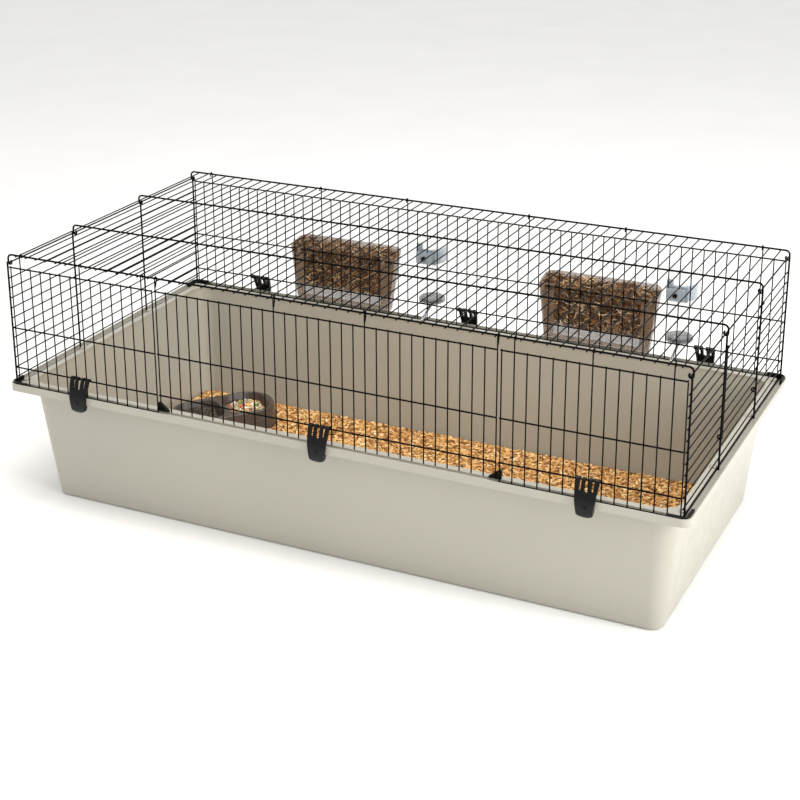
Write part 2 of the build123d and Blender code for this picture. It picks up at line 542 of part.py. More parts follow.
for bottle_x, name in (
    (-4.5 * BACK_PITCH + BOTTLE_SHIFT, "left"),
    (19.5 * BACK_PITCH + BOTTLE_SHIFT, "right"),
):
    upright = Plane(origin=(bottle_x, BOTTLE_Y, 0), x_dir=(1, 0, 0), z_dir=(0, -1, 0))
    axis = Axis((bottle_x, BOTTLE_Y, 0), (0, 0, 1))
    with BuildPart() as bottle:
        with BuildSketch(upright):
            with BuildLine():
                bottle_profile(0.0)
            make_face()
            with BuildLine():
                bottle_profile(BOTTLE_SKIN)
            make_face(mode=Mode.SUBTRACT)
        revolve(axis=axis)
    save(bottle, f"water_bottle_{name}")

    # Cap: a flat ribbed disc with a boss for the tube and a wall round the bottle's neck
    with BuildPart() as cap:
        with BuildSketch(upright):
            with BuildLine():
                Polyline(
                    (TUBE_R, CAP_LOW - 1.5),
                    (9.0, CAP_LOW - 1.5),
                    (11.0, CAP_LOW),
                    (CAP_R - 2.0, CAP_LOW),
                    (CAP_R, CAP_LOW + 2.0),
                    (CAP_R, CAP_HIGH - 1.5),
                    (CAP_R - 1.5, CAP_HIGH),
                    (NECK_R + 0.1, CAP_HIGH),
                    (NECK_R + 0.1, CAP_FLOOR),
                    (TUBE_R, CAP_FLOOR),
                    close=True,
                )
            make_face()
        revolve(axis=axis)
        with BuildSketch(Plane.XY.offset(CAP_FLOOR)):
            with Locations((bottle_x, BOTTLE_Y)):
                with PolarLocations(CAP_R, 30):
                    Circle(0.9)
        extrude(amount=CAP_HIGH - CAP_LOW - 6.0)
    save(cap, f"bottle_cap_{name}")

    tube_tip = (bottle_x, HALF_D - 18.0, RIM_TOP_Z + 3.4)
    with BuildPart() as tube:
        with BuildLine():
            route = FilletPolyline(
                (bottle_x, BOTTLE_Y, CAP_FLOOR),
                (bottle_x, BOTTLE_Y, TUBE_CORNER_Z),
                tube_tip,
                radius=6.0,
            )
        with BuildSketch(Plane(origin=route @ 0, z_dir=(0, 0, -1))):
            Circle(TUBE_R - 0.05)
            Circle(TUBE_R - 1.0, mode=Mode.SUBTRACT)
        sweep()
    save(tube, f"drinking_tube_{name}")

    run = (Vector(*tube_tip) - Vector(bottle_x, BOTTLE_Y, TUBE_CORNER_Z)).normalized()
    with BuildPart() as ball:
        with Locations(Vector(*tube_tip) + run * 0.2):
            Sphere(TUBE_R - 1.05)
    save(ball, f"tube_ball_{name}")

    # Bracket: an open ring round the bottle on a plate against the rails, with a lug above
    with BuildPart() as bracket:
        with BuildSketch(Plane.XY.offset(BRACKET_LOW)):
            with Locations((bottle_x, BOTTLE_Y)):
                Circle(BRACKET_OUT)
            with Locations((bottle_x, BOTTLE_Y + 6.0)):
                Rectangle(2 * BRACKET_OUT, 12.0)
            with Locations((bottle_x, BOTTLE_Y)):
                Circle(BRACKET_IN, mode=Mode.SUBTRACT)
            with Locations((bottle_x, BOTTLE_Y + 32.0)):
                Rectangle(2 * BRACKET_IN, 64.0, mode=Mode.SUBTRACT)
            with Locations((bottle_x, BOTTLE_Y + 52.0)):
                Rectangle(100.0, 80.0, mode=Mode.SUBTRACT)
        extrude(amount=BRACKET_HIGH - BRACKET_LOW)
        with Locations((bottle_x, RACK_Y + PLATE_THICK / 2, BRACKET_MID)):
            Box(54.0, PLATE_THICK, BRACKET_HIGH - BRACKET_LOW)
        with Locations((bottle_x - 18.0, RACK_Y + PLATE_THICK / 2, BRACKET_HIGH + 7.0)):
            Box(16.0, PLATE_THICK, 16.0)
        with Locations((bottle_x, RACK_Y, BRACKET_MID)):
            Cylinder(SCREW_HOLE_R, 60.0, rotation=ALONG_Y, mode=Mode.SUBTRACT)
        with Locations((bottle_x, BOTTLE_Y, BRACKET_MID)):
            Cylinder(BRACKET_IN, 80.0, mode=Mode.SUBTRACT)
    save(bracket, f"bottle_bracket_{name}")

    plate_y = HALF_D - 4.6
    with BuildPart() as plate:
        with Locations((bottle_x, plate_y, BRACKET_MID)):
            Box(44.0, PLATE_THICK, 30.0)
        fillet(plate.edges().filter_by(Axis.Y), 4.0)
        with Locations((bottle_x, plate_y, BRACKET_MID)):
            Cylinder(SCREW_HOLE_R, 10.0, rotation=ALONG_Y, mode=Mode.SUBTRACT)
    save(plate, f"clamp_plate_{name}")

    knob_y = plate_y - PLATE_THICK / 2 - KNOB_THICK / 2 - 0.5
    with BuildPart() as knob:
        with Locations((bottle_x, knob_y, BRACKET_MID)):
            Cylinder(KNOB_R, KNOB_THICK, rotation=ALONG_Y)
        with BuildSketch(Plane.XZ.offset(-(knob_y - KNOB_THICK / 2))):
            with Locations((bottle_x, BRACKET_MID)):
                with PolarLocations(KNOB_R + 0.4, 8):
                    Circle(1.1)
        extrude(amount=-KNOB_THICK, mode=Mode.SUBTRACT)
        with Locations((bottle_x, HALF_D - 1.6, BRACKET_MID)):
            Cylinder(SCREW_R, 14.0, rotation=ALONG_Y)
    save(knob, f"clamp_knob_{name}")

# Double feeder bowl on the bedding, turned on the floor
BOWL_X = -577.0
BOWL_Y = 144.0
BOWL_TURN = 50.5  # degrees from the cage's length
BOWL_LONG = 282.0
BOWL_WIDE = 152.0
BOWL_TALL = 53.0
BOWL_DRAFT = 14.0  # the rim's outline is smaller than the foot's by this much
BOWL_GAP = 0.3
WELL_LONG = 112.0
WELL_WIDE = 122.0
WELL_DEEP = 37.0
WELL_DRAFT = 22.0
WELL_CORNER = 38.0
WELL_LOW_CORNER = 30.0
RIDGE = 12.0
WELL_OFF = (WELL_LONG + RIDGE) / 2
FEED_DEEP = 20.0
floor_plane = Plane(
    origin=(BOWL_X, BOWL_Y, BEDDING_TOP + BOWL_GAP),
    x_dir=on_circle(1, BOWL_TURN) + (0,),
    z_dir=(0, 0, 1),
)


def well_outline(side, height):
    """The outline of one well at a height above its floor."""
    share = height / WELL_DEEP
    grown = WELL_DRAFT * (1 - share)
    corner = WELL_LOW_CORNER + (WELL_CORNER - WELL_LOW_CORNER) * share
    with BuildSketch(floor_plane.offset(BOWL_TALL - WELL_DEEP + height)) as outline:
        with Locations((side * WELL_OFF, 0)):
            RectangleRounded(WELL_LONG - grown, WELL_WIDE - grown, corner)
    return outline.sketch


with BuildPart() as feeder_bowl:
    with BuildSketch(floor_plane):
        RectangleRounded(BOWL_LONG, BOWL_WIDE, BOWL_WIDE / 2 - 6.0)
    with BuildSketch(floor_plane.offset(BOWL_TALL)):
        RectangleRounded(BOWL_LONG - BOWL_DRAFT, BOWL_WIDE - BOWL_DRAFT, BOWL_WIDE / 2 - 12.0)
    loft()
    for side in (-1, 1):
        loft([well_outline(side, 0.0), well_outline(side, WELL_DEEP)], mode=Mode.SUBTRACT)
    fillet(feeder_bowl.edges().group_by(Axis.Z)[-1], 2.0)
save(feeder_bowl, "feeder_bowl")

for side, name in ((-1, "dark_pellets"), (1, "mixed_feed")):
    with BuildPart() as feed:
        loft([well_outline(side, 0.0), well_outline(side, FEED_DEEP)])
    save(feed, name)
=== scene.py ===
from math import cos, pi, radians, sin

import bpy
import numpy as np
from mathutils import Matrix, Vector


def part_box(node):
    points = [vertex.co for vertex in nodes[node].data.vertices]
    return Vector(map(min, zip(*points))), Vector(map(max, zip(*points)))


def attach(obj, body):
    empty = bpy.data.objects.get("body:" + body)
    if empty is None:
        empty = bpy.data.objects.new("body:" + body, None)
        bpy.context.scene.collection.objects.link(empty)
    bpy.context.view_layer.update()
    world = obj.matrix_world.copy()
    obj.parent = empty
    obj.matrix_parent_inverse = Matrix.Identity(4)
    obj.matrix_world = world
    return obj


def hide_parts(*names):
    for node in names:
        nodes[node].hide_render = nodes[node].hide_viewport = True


# Looks for a wire rabbit cage on a deep plastic tub. Everything is in metres, in the frame's own axes.

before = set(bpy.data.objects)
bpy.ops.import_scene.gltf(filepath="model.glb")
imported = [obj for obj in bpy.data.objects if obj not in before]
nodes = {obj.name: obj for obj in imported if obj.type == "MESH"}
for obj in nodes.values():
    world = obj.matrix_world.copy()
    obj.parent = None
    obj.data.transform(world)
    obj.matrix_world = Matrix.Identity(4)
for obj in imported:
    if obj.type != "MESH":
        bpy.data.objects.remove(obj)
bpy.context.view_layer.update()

SEED = 7

# ---------------------------------------------------------------------------------------------
# Camera: a slightly long lens, from the front right and a little above
# ---------------------------------------------------------------------------------------------
CAMERA_PLACE = (1.5664, -3.2721, 1.8083)
CAMERA_AZIMUTH = 25.562
CAMERA_ELEVATION = 19.187
CAMERA_ROLL = -0.154
CAMERA_LENS = 75.55
CAMERA_SENSOR = 36.0
CAMERA_SHIFT_Y = -0.15
FARTHEST_SEEN = 100.0


def add_camera():
    data = bpy.data.cameras.new("camera")
    data.lens = CAMERA_LENS
    data.sensor_width = CAMERA_SENSOR
    data.shift_y = CAMERA_SHIFT_Y
    data.clip_end = FARTHEST_SEEN
    camera = bpy.data.objects.new("camera", data)
    azimuth, elevation = radians(CAMERA_AZIMUTH), radians(CAMERA_ELEVATION)
    ahead = Vector((-sin(azimuth) * cos(elevation), cos(azimuth) * cos(elevation), -sin(elevation)))
    turn = ahead.to_track_quat("-Z", "Y").to_matrix().to_4x4()
    camera.matrix_world = (
        Matrix.Translation(CAMERA_PLACE) @ turn @ Matrix.Rotation(radians(CAMERA_ROLL), 4, "Z")
    )
    bpy.context.scene.collection.objects.link(camera)
    bpy.context.scene.camera = camera


# ---------------------------------------------------------------------------------------------
# Studio: pale floor, white surround and soft lamps
# ---------------------------------------------------------------------------------------------
SURROUND_COLOUR = (1.0, 0.995, 0.985, 1.0)
SURROUND_STRENGTH = 0.82
WARM_WHITE = (1.0, 0.965, 0.91)
FLOOR_REACH = 40.0


def add_softbox(name, place, target, size, power, colour=(1.0, 1.0, 1.0)):
    data = bpy.data.lights.new(name, "AREA")
    data.shape = "RECTANGLE"
    data.size, data.size_y = size
    data.energy = power
    data.color = colour
    lamp = bpy.data.objects.new(name, data)
    lamp.location = place
    lamp.rotation_euler = (Vector(target) - Vector(place)).to_track_quat("-Z", "Y").to_euler()
    bpy.context.scene.collection.objects.link(lamp)


def add_studio():
    world = bpy.data.worlds.new("surround")
    world.use_nodes = True
    surround = world.node_tree.nodes["Background"]
    surround.inputs["Color"].default_value = SURROUND_COLOUR
    surround.inputs["Strength"].default_value = SURROUND_STRENGTH
    bpy.context.scene.world = world
    bpy.context.scene.view_settings.view_transform = "Standard"
    add_softbox("right_softbox", (4.2, -0.8, 2.0), (0.2, 0.0, 0.25), (2.4, 2.0), 140.0)
    add_softbox("top_softbox", (0.2, -0.35, 3.4), (0.0, 0.0, 0.2), (3.0, 1.8), 95.0, WARM_WHITE)
    floor_mesh = bpy.data.meshes.new("floor")
    r = FLOOR_REACH
    floor_mesh.from_pydata(
        [(-r, -r, 0), (r, -r, 0), (r, r, 0), (-r, r, 0)],
        [],
        [(0, 1, 2, 3)],
    )
    floor = bpy.data.objects.new("floor", floor_mesh)
    bpy.context.scene.collection.objects.link(floor)
    look = Look("studio_floor", colour=(0.93, 0.93, 0.925), rough=0.75)
    look.colour_noise(3.0, 0.015)
    floor_mesh.materials.append(look.material)


# ---------------------------------------------------------------------------------------------
# Materials
# ---------------------------------------------------------------------------------------------
class Look:
    """A material on one Principled shader, with helpers for what varies over the surface."""

    def __init__(self, name, colour, rough=0.5, **sockets):
        self.material = bpy.data.materials.new(name)
        self.material.use_nodes = True
        self.tree = self.material.node_tree
        self.shader = self.tree.nodes["Principled BSDF"]
        self.colour = colour
        self.set("Base Color", (*colour, 1.0))
        self.set("Roughness", rough)
        for socket, value in sockets.items():
            self.set(socket.replace("_", " "), value)
        self.normal = None

    def set(self, socket, value):
        self.shader.inputs[socket].default_value = value

    def node(self, kind, **inputs):
        made = self.tree.nodes.new(kind)
        for name, value in inputs.items():
            made.inputs[name.replace("_", " ")].default_value = value
        return made

    def link(self, source, target):
        self.tree.links.new(source, target)

    def noise(self, scale, detail=2.0, stretch=(1.0, 1.0, 1.0)):
        """Noise in the object's own coordinates, scale per metre."""
        place = self.node("ShaderNodeTexCoord")
        spread = self.node("ShaderNodeMapping")
        spread.inputs["Scale"].default_value = stretch
        self.link(place.outputs["Object"], spread.inputs["Vector"])
        made = self.node("ShaderNodeTexNoise", Scale=scale, Detail=detail)
        self.link(spread.outputs["Vector"], made.inputs["Vector"])
        return made.outputs["Fac"]

    def island(self):
        """A different number on each loose part of the mesh."""
        return self.node("ShaderNodeNewGeometry").outputs["Random Per Island"]

    def ramp(self, source, stops, smooth=True):
        made = self.node("ShaderNodeValToRGB")
        made.color_ramp.interpolation = "LINEAR" if smooth else "CONSTANT"
        points = made.color_ramp.elements
        while len(points) < len(stops):
            points.new(0.5)
        for point, (at, colour) in zip(points, stops):
            point.position = at
            point.color = (*colour, 1.0)
        self.link(source, made.inputs["Fac"])
        return made.outputs["Color"]

    def colour_noise(self, scale, amount, detail=3.0, stretch=(1.0, 1.0, 1.0)):
        """Base colour a little lighter and darker from place to place."""
        dark = tuple(c * (1.0 - amount) for c in self.colour)
        light = tuple(min(1.0, c * (1.0 + amount)) for c in self.colour)
        mixed = self.ramp(self.noise(scale, detail, stretch), [(0.3, dark), (0.7, light)])
        self.link(mixed, self.shader.inputs["Base Color"])

    def rough_noise(self, scale, low, high, detail=2.0):
        spread = self.node("ShaderNodeMapRange", From_Min=0.3, From_Max=0.7, To_Min=low, To_Max=high)
        self.link(self.noise(scale, detail), spread.inputs["Value"])
        self.link(spread.outputs["Result"], self.shader.inputs["Roughness"])

    def bump(self, scale, height, strength=1.0, detail=2.0, stretch=(1.0, 1.0, 1.0)):
        """Adds one layer of relief: height in metres."""
        made = self.node("ShaderNodeBump", Strength=strength, Distance=height)
        self.link(self.noise(scale, detail, stretch), made.inputs["Height"])
        if self.normal is not None:
            self.link(self.normal, made.inputs["Normal"])
        self.normal = made.outputs["Normal"]
        self.link(self.normal, self.shader.inputs["Normal"])


def wire_look():
    look = Look("black_wire_coating", (0.0015, 0.0015, 0.0016), 0.32, Specular_IOR_Level=0.05)
    look.colour_noise(60.0, 0.35)
    look.rough_noise(240.0, 0.24, 0.38)
    look.bump(900.0, 0.00012, 0.35)
    return look.material


def tub_look():
    look = Look("tub_plastic", (0.405, 0.387, 0.328), 0.34, Coat_Weight=0.12, Coat_Roughness=0.2)
    look.colour_noise(2.2, 0.03)
    look.rough_noise(35.0, 0.3, 0.42)
    look.bump(1400.0, 0.00006, 0.35)
    look.bump(4.0, 0.0012, 0.25, detail=1.0)
    return look.material


def black_plastic_look():
    look = Look("black_plastic", (0.003, 0.003, 0.0032), 0.22, Specular_IOR_Level=0.22)
    look.colour_noise(40.0, 0.3)
    look.rough_noise(150.0, 0.2, 0.34)
    look.bump(700.0, 0.00008, 0.3)
    return look.material


def boot_look():
    look = Look("boot_plastic", (0.005, 0.005, 0.005), 0.42, Specular_IOR_Level=0.2)
    look.colour_noise(60.0, 0.3)
    look.rough_noise(200.0, 0.36, 0.5)
    look.bump(1200.0, 0.0001, 0.4)
    return look.material


def rack_look():
    look = Look("smoke_plastic", (0.33, 0.235, 0.165), 0.14, Coat_Weight=0.3, Coat_Roughness=0.06)
    look.set("Alpha", 0.52)
    look.colour_noise(12.0, 0.06)
    look.rough_noise(60.0, 0.1, 0.2)
    look.bump(18.0, 0.0008, 0.3, detail=1.0)
    return look.material


def bottle_look():
    look = Look("clear_bottle", (0.88, 0.93, 0.95), 0.05, Coat_Weight=0.4, Coat_Roughness=0.04)
    look.set("Alpha", 0.10)
    look.colour_noise(30.0, 0.03)
    look.rough_noise(80.0, 0.04, 0.1)
    look.bump(40.0, 0.0004, 0.25, detail=1.0)
    return look.material


def cap_look():
    look = Look("smoke_cap", (0.13, 0.138, 0.147), 0.2, Coat_Weight=0.4, Coat_Roughness=0.08)
    look.set("Alpha", 0.62)
    look.colour_noise(80.0, 0.15)
    look.rough_noise(200.0, 0.15, 0.28)
    look.bump(500.0, 0.0001, 0.3)
    return look.material


def bracket_look():
    look = Look("bracket_plastic", (0.42, 0.49, 0.55), 0.22, Coat_Weight=0.3, Coat_Roughness=0.08)
    look.set("Alpha", 0.7)
    look.colour_noise(60.0, 0.12)
    look.rough_noise(200.0, 0.16, 0.3)
    look.bump(600.0, 0.0001, 0.3)
    return look.material


def steel_look(name, rough):
    look = Look(name, (0.62, 0.63, 0.64), rough, Metallic=1.0)
    look.colour_noise(400.0, 0.08, stretch=(1.0, 1.0, 0.1))
    look.rough_noise(500.0, rough * 0.7, rough * 1.4)
    look.bump(1500.0, 0.00004, 0.3, stretch=(1.0, 1.0, 0.1))
    return look.material


def bowl_look():
    look = Look("bowl_plastic", (0.066, 0.049, 0.041), 0.3, Coat_Weight=0.25, Coat_Roughness=0.15)
    look.colour_noise(25.0, 0.1)
    look.rough_noise(90.0, 0.25, 0.4)
    look.bump(900.0, 0.0001, 0.35)
    return look.material


def chip_look():
    look = Look("wood_chips", (0.72, 0.45, 0.2), 0.75)
    shades = look.ramp(
        look.island(),
        [
            (0.0, (0.10, 0.035, 0.008)),
            (0.14, (0.36, 0.15, 0.035)),
            (0.4, (0.72, 0.38, 0.11)),
            (0.75, (0.88, 0.56, 0.22)),
            (1.0, (0.95, 0.76, 0.43)),
        ],
    )
    grain = look.ramp(
        look.noise(700.0, 3.0, (1.0, 1.0, 3.0)), [(0.35, (0.72, 0.66, 0.6)), (0.6, (1.0, 1.0, 1.0))]
    )
    mix = look.node("ShaderNodeMix")
    mix.data_type = "RGBA"
    mix.blend_type = "MULTIPLY"
    mix.inputs["Factor"].default_value = 1.0
    look.link(shades, mix.inputs["A"])
    look.link(grain, mix.inputs["B"])
    look.link(mix.outputs["Result"], look.shader.inputs["Base Color"])
    look.rough_noise(300.0, 0.65, 0.85)
    look.bump(1500.0, 0.0002, 0.5)
    return look.material


def chip_bed_look():
    look = Look("chip_bed", (0.6, 0.34, 0.13), 0.85)
    shades = look.ramp(
        look.noise(160.0, 6.0),
        [(0.3, (0.14, 0.05, 0.012)), (0.5, (0.46, 0.22, 0.065)), (0.68, (0.8, 0.48, 0.18))],
    )
    look.link(shades, look.shader.inputs["Base Color"])
    look.bump(170.0, 0.004, 0.9, detail=6.0)
    return look.material


def straw_look():
    look = Look("hay_stalks", (0.5, 0.33, 0.14), 0.62)
    shades = look.ramp(
        look.island(),
        [
            (0.0, (0.035, 0.013, 0.005)),
            (0.4, (0.10, 0.042, 0.014)),
            (0.64, (0.25, 0.12, 0.048)),
            (0.84, (0.56, 0.335, 0.165)),
            (1.0, (0.92, 0.74, 0.49)),
        ],
    )
    look.link(shades, look.shader.inputs["Base Color"])
    look.rough_noise(200.0, 0.5, 0.75)
    look.bump(1800.0, 0.0002, 0.4)
    return look.material


def hay_core_painted_shade_look():
    # The hay's own brown, darkened far below the stalks' colours as painted shade for the deep gaps
    # between the stalks
    look = Look("hay_core", (0.12, 0.06, 0.02), 0.85)
    shades = look.ramp(
        look.noise(120.0, 8.0, (1.0, 1.0, 2.5)),
        [(0.32, (0.012, 0.005, 0.002)), (0.5, (0.05, 0.022, 0.008)), (0.68, (0.18, 0.085, 0.028))],
    )
    look.link(shades, look.shader.inputs["Base Color"])
    look.bump(150.0, 0.006, 1.0, detail=8.0)
    return look.material


def grain_look(name, dark, light, rough=0.5):
    look = Look(name, light, rough)
    shades = look.ramp(look.island(), [(0.0, dark), (1.0, light)])
    look.link(shades, look.shader.inputs["Base Color"])
    look.rough_noise(400.0, rough * 0.8, rough * 1.2)
    look.bump(1600.0, 0.0002, 0.4)
    return look.material


def striped_seed_look():
    look = Look("striped_seed", (0.8, 0.76, 0.68), 0.45)
    shades = look.ramp(
        look.noise(260.0, 1.0, (3.0, 0.6, 1.0)),
        [(0.0, (0.05, 0.04, 0.03)), (0.46, (0.07, 0.055, 0.045)), (0.54, (0.84, 0.8, 0.72))],
    )
    look.link(shades, look.shader.inputs["Base Color"])
    look.rough_noise(400.0, 0.35, 0.55)
    look.bump(1600.0, 0.0002, 0.4)
    return look.material


# ---------------------------------------------------------------------------------------------
# Mesh building
# ---------------------------------------------------------------------------------------------
def add_piece(name, points, faces, materials, body, smooth=False, face_slots=None):
    """A piece of quads or triangles from arrays, riding on a body."""
    mesh = bpy.data.meshes.new(name)
    points = np.asarray(points, np.float32)
    loops = [np.asarray(f, np.int32) for f in faces]
    counts = np.concatenate([np.full(len(f), f.shape[1], np.int32) for f in loops])
    corners = np.concatenate([f.ravel() for f in loops])
    mesh.vertices.add(len(points))
    mesh.vertices.foreach_set("co", points.ravel())
    mesh.loops.add(len(corners))
    mesh.loops.foreach_set("vertex_index", corners)
    mesh.polygons.add(len(counts))
    starts = np.concatenate([[0], np.cumsum(counts)[:-1]]).astype(np.int32)
    mesh.polygons.foreach_set("loop_start", starts)
    mesh.update(calc_edges=True)
    mesh.validate()
    mesh.polygons.foreach_set("use_smooth", np.full(len(counts), smooth))
    for material in materials:
        mesh.materials.append(material)
    if face_slots is not None:
        mesh.polygons.foreach_set("material_index", np.asarray(face_slots, np.int32))
    piece = bpy.data.objects.new(name, mesh)
    bpy.context.scene.collection.objects.link(piece)
    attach(piece, body)
    return piece


def turns(rng, count, tilt):
    """Random rotations: any heading, tipped by up to about tilt radians."""
    heading = rng.uniform(0, 2 * pi, count)
    pitch = rng.normal(0, tilt, count)
    roll = rng.normal(0, tilt, count)
    ch, sh, cp, sp, cr, sr = cos_sin(heading, pitch, roll)
    zero, one = np.zeros(count), np.ones(count)
    about_z = stack3([[ch, -sh, zero], [sh, ch, zero], [zero, zero, one]])
    about_y = stack3([[cp, zero, sp], [zero, one, zero], [-sp, zero, cp]])
    about_x = stack3([[one, zero, zero], [zero, cr, -sr], [zero, sr, cr]])
    return about_z @ about_y @ about_x


def cos_sin(*angles):
    return [f(a) for a in angles for f in (np.cos, np.sin)]


def stack3(rows):
    return np.stack([np.stack(row, -1) for row in rows], -2)


def scatter(shape, centres, rotations, sizes):
    """Copies of one small shape, each turned, scaled and placed: all their points."""
    scaled = shape[None] * sizes[:, None]
    return (np.einsum("nij,nkj->nki", rotations, scaled) + centres[:, None]).reshape(-1, 3)


def repeat_faces(faces, corner_count, count):
    faces = np.asarray(faces)
    offsets = np.arange(count)[:, None, None] * corner_count
    return (faces[None] + offsets).reshape(-1, faces.shape[1])


def grid_quads(index):
    """The quads between the neighbours of a grid of point numbers."""
    corners = [index[:-1, :-1], index[1:, :-1], index[1:, 1:], index[:-1, 1:]]
    return np.stack(corners, -1).reshape(-1, 4)


# A chip is a flake with a slight bend, thinner at its ends
CHIP_POINTS = np.array(
    [
        (x, y * w, z * t + b)
        for x, w, t, b in ((-0.5, 0.55, 0.45, -0.10), (0.05, 1.0, 1.0, 0.12), (0.5, 0.5, 0.4, -0.06))
        for y, z in ((-0.5, -0.5), (0.5, -0.5), (0.5, 0.5), (-0.5, 0.5))
    ]
)
CHIP_FACES = [(0, 3, 2, 1), (8, 9, 10, 11)] + [
    (r + i, r + (i + 1) % 4, r + 4 + (i + 1) % 4, r + 4 + i) for r in (0, 4) for i in range(4)
]


def inside_round_box(x, y, half_x, half_y, corner):
    """True where the point is inside a rectangle with rounded corners."""
    over_x = np.maximum(np.abs(x) - (half_x - corner), 0)
    over_y = np.maximum(np.abs(y) - (half_y - corner), 0)
    return (np.hypot(over_x, over_y) < corner) & (np.abs(x) < half_x) & (np.abs(y) < half_y)


def bowl_frame():
    """The bowl's middle and the directions along and across it, from the fillings it holds."""
    pellets_low, pellets_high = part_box("dark_pellets")
    mixed_low, mixed_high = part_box("mixed_feed")
    first = (pellets_low + pellets_high) / 2
    second = (mixed_low + mixed_high) / 2
    along = (second - first).normalized()
    return (first + second) / 2, along, Vector((-along.y, along.x, 0.0))


RELIEF_HEIGHT = 0.0011
BED_CORNER = 0.022
BED_GRID = 0.006
BED_SINK = 0.0035  # how far the bed lies below the top of the CAD bedding
CHIP_MARGIN = 0.002  # from the middle of a chip to the bedding's edge
CHIP_HEIGHTS = (-0.0006, 0.0034)  # of the chips' middles, from the bed
CHIP_BREADTHS = (0.3, 0.62)  # as shares of the length
CHIP_THICKNESSES = (0.0010, 0.0024)
CHIP_TILT = 0.32
CHIP_PIECES = 4
CHIPS_PER_PIECE = 8250
# No chips lie under the bowl: half its length, half its width and its corner
BOWL_CLEAR = (0.142, 0.077, 0.070)


def bedding_relief(x, y):
    """Gentle heaps and hollows in the bedding, in metres."""
    waves = (
        0.9 * np.sin(7.3 * x + 1.2 * np.sin(4.1 * y))
        + 0.7 * np.sin(11.7 * y + 2.3 * x + 0.7)
        + 0.5 * np.sin(23.0 * x - 17.0 * y + 2.0)
        + 0.35 * np.sin(41.0 * x + 29.0 * y)
    )
    return RELIEF_HEIGHT * waves


def add_bedding():
    """A heaped bed with loose wood chips all over it."""
    low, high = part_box("bedding")
    half_x, half_y = high.x, high.y
    top = high.z - BED_SINK
    cols, rows = int(2 * half_x / BED_GRID), int(2 * half_y / BED_GRID)
    xs = np.linspace(-half_x, half_x, cols)
    ys = np.linspace(-half_y, half_y, rows)
    gx, gy = np.meshgrid(xs, ys, indexing="ij")
    corner = BED_CORNER
    # Pull the grid's corners in to the tub's rounded corners
    over_x = np.maximum(np.abs(gx) - (half_x - corner), 0)
    over_y = np.maximum(np.abs(gy) - (half_y - corner), 0)
    reach = np.maximum(np.hypot(over_x, over_y), 1e-9)
    pull = np.where(reach > corner, corner / reach, 1.0)
    px = np.sign(gx) * (np.minimum(np.abs(gx), half_x - corner) + over_x * pull)
    py = np.sign(gy) * (np.minimum(np.abs(gy), half_y - corner) + over_y * pull)
    rng = np.random.default_rng(SEED)
    pz = top + bedding_relief(px, py) + rng.normal(0, 0.0006, px.shape)
    upper = np.stack([px, py, pz], -1).reshape(-1, 3)
    lower = upper.copy()
    lower[:, 2] = low.z + 0.0003
    index = np.arange(cols * rows).reshape(cols, rows)
    quads = grid_quads(index)
    edge = np.concatenate([index[:, 0], index[-1, 1:], index[-2::-1, -1], index[0, -2:0:-1]])
    following = np.roll(edge, -1)
    count = cols * rows
    side = np.stack([edge, edge + count, following + count, following], -1)
    bottom = quads[:, ::-1] + count
    bed = add_piece(
        "bedding_bed",
        np.concatenate([upper, lower]),
        [quads, side, bottom],
        [chip_bed_look()],
        "base",
        smooth=True,
    )
    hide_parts("bedding")

    middle, along, across = bowl_frame()
    chips = chip_look()
    drawn = CHIPS_PER_PIECE * 2
    for part in range(CHIP_PIECES):
        rng = np.random.default_rng(SEED + 10 + part)
        x = rng.uniform(-half_x + CHIP_MARGIN, half_x - CHIP_MARGIN, drawn)
        y = rng.uniform(-half_y + CHIP_MARGIN, half_y - CHIP_MARGIN, drawn)
        length = rng.gamma(9.0, 0.00095, drawn) + 0.0015
        keep = inside_round_box(
            np.abs(x) + length / 2, np.abs(y) + length / 2, half_x, half_y, corner
        )
        u = (x - middle.x) * along.x + (y - middle.y) * along.y
        v = (x - middle.x) * across.x + (y - middle.y) * across.y
        keep &= ~inside_round_box(u, v, *BOWL_CLEAR)
        x, y, length = (a[keep][:CHIPS_PER_PIECE] for a in (x, y, length))
        count = len(x)
        z = top + bedding_relief(x, y) + rng.uniform(*CHIP_HEIGHTS, count)
        breadth = length * rng.uniform(*CHIP_BREADTHS, count)
        sizes = np.stack([length, breadth, rng.uniform(*CHIP_THICKNESSES, count)], -1)
        rotations = turns(rng, count, CHIP_TILT)
        points = scatter(CHIP_POINTS, np.stack([x, y, z], -1), rotations, sizes)
        add_piece(
            f"loose_chips_{part + 1}",
            points,
            [repeat_faces(CHIP_FACES, len(CHIP_POINTS), count)],
            [chips],
            "base",
        )


# ---------------------------------------------------------------------------------------------
# Hay
# ---------------------------------------------------------------------------------------------
# The rack narrows downwards: its width and depth at the hay's foot, as shares of those at its top
FOOT_WIDE = 0.905
FOOT_DEEP = 0.755
RACK_CORNER = 0.0275
RACK_CLEAR = 0.0012  # between the hay and the rack's walls
BAR_CLEAR = 0.0006  # between the hay and the bars
CORE_GRID = (46, 16, 24)
STALK_COUNT = 5200
STALK_LENGTHS = (0.016, 0.058)
STALK_RADII = (0.0006, 0.0018)
STALK_BEND = 0.55
# Which stalks lie where: along the front, over the top, at the sides, along the back
STALK_SHARES = [0.40, 0.28, 0.12, 0.20]
FRONT, TOP, SIDES, BACK = range(4)


def hay_room(z, low, high):
    """Half the width and the full depth inside the rack at each height."""
    share = np.clip((z - low.z) / (high.z - low.z), 0, 1)
    half = (high.x - low.x) / 2 * (FOOT_WIDE + (1 - FOOT_WIDE) * share)
    return half, (high.y - low.y) * (FOOT_DEEP + (1 - FOOT_DEEP) * share)


